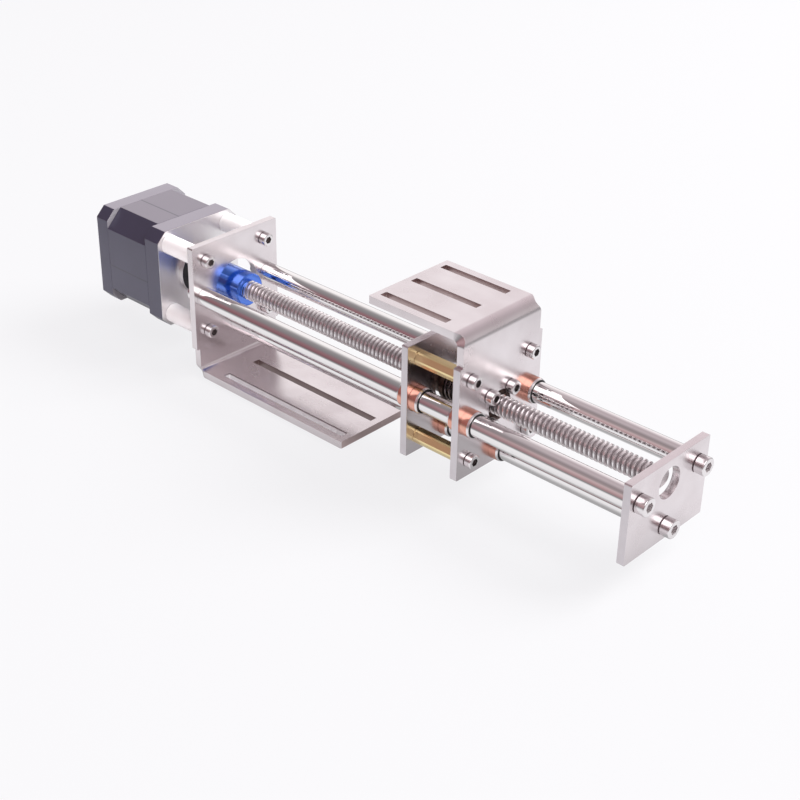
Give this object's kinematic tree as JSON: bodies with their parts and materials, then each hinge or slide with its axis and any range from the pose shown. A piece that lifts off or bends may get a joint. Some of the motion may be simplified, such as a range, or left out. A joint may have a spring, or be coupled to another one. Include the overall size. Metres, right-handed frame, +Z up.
{
  "type": "cnc z-axis module",
  "caption": "Motorised linear slide: a lead screw drives a slotted carriage along round rods on a bent steel bracket.",
  "frame": {"origin": "underside of the base plate, at the middle of its slots", "axes": "+X along the lead screw from the motor towards the end plate, +Z up through the base towards the carriage table, +Y completes a right-hand set"},
  "size_m": [0.28, 0.0467, 0.07],
  "materials": {
    "stainless": "fine brushed, semi-polished",
    "motor_black": "satin",
    "bearing_steel": "ground",
    "screw_steel": "polished stainless",
    "rod_chrome": "mirror",
    "lead_screw_steel": "rolled bright",
    "post_aluminium": "satin",
    "blue_anodised": "anodised, glossy",
    "dark_steel": "oiled",
    "brass": "turned",
    "copper_bush": "copper plated",
    "black_lining": "matt",
    "socket_plastic": "matt"
  },
  "bodies": {
    "frame": {"motor_rear_cap": "motor_black", "motor_stack": "motor_black", "motor_front_cap": "motor_black", "motor_bearing_front": "bearing_steel", "motor_bearing_rear": "bearing_steel", "motor_case_screws": "screw_steel", "motor_socket": "socket_plastic", "post_1": "post_aluminium", "post_2": "post_aluminium", "post_3": "post_aluminium", "post_4": "post_aluminium", "motor_bracket": "stainless", "motor_mount_screws": "screw_steel", "bracket_rod_screws": "screw_steel", "rod_near": "rod_chrome", "rod_far": "rod_chrome", "rod_bottom": "rod_chrome", "end_plate": "stainless", "end_plate_screws": "screw_steel"},
    "screw": {"motor_rotor": "bearing_steel", "motor_shaft": "bearing_steel", "coupling": "blue_anodised", "coupling_grub_screws": "dark_steel", "lead_screw": "lead_screw_steel"},
    "carriage": {"carriage_rear_plate": "stainless", "carriage_front_plate": "stainless", "bush_front_near": "copper_bush", "bush_front_far": "copper_bush", "bush_front_bottom": "copper_bush", "bush_rear_near": "copper_bush", "bush_rear_far": "copper_bush", "bush_rear_bottom": "copper_bush", "lining_front_near": "black_lining", "lining_front_far": "black_lining", "lining_front_bottom": "black_lining", "lining_rear_near": "black_lining", "lining_rear_far": "black_lining", "lining_rear_bottom": "black_lining", "standoff_1": "brass", "standoff_2": "brass", "standoff_3": "brass", "standoff_4": "brass", "standoff_screws_front": "screw_steel", "standoff_screws_rear": "screw_steel", "nut_main": "brass", "nut_slider": "brass", "nut_spring": "dark_steel", "nut_screws": "screw_steel"}
  },
  "joints": [
    {"name": "screw_spin", "type": "hinge", "parent": "frame", "child": "screw", "pos_m": [0, 0, 0.035], "axis": [1, 0, 0], "range_deg": [-11700, 17640]},
    {"name": "carriage_slide", "type": "slide", "parent": "frame", "child": "carriage", "axis": [1, 0, 0], "range_m": [-0.098, 0.065]}
  ],
  "couplings": [
    {"joint": "screw_spin", "follows": "carriage_slide", "rad_per_m": -3141.6}
  ]
}
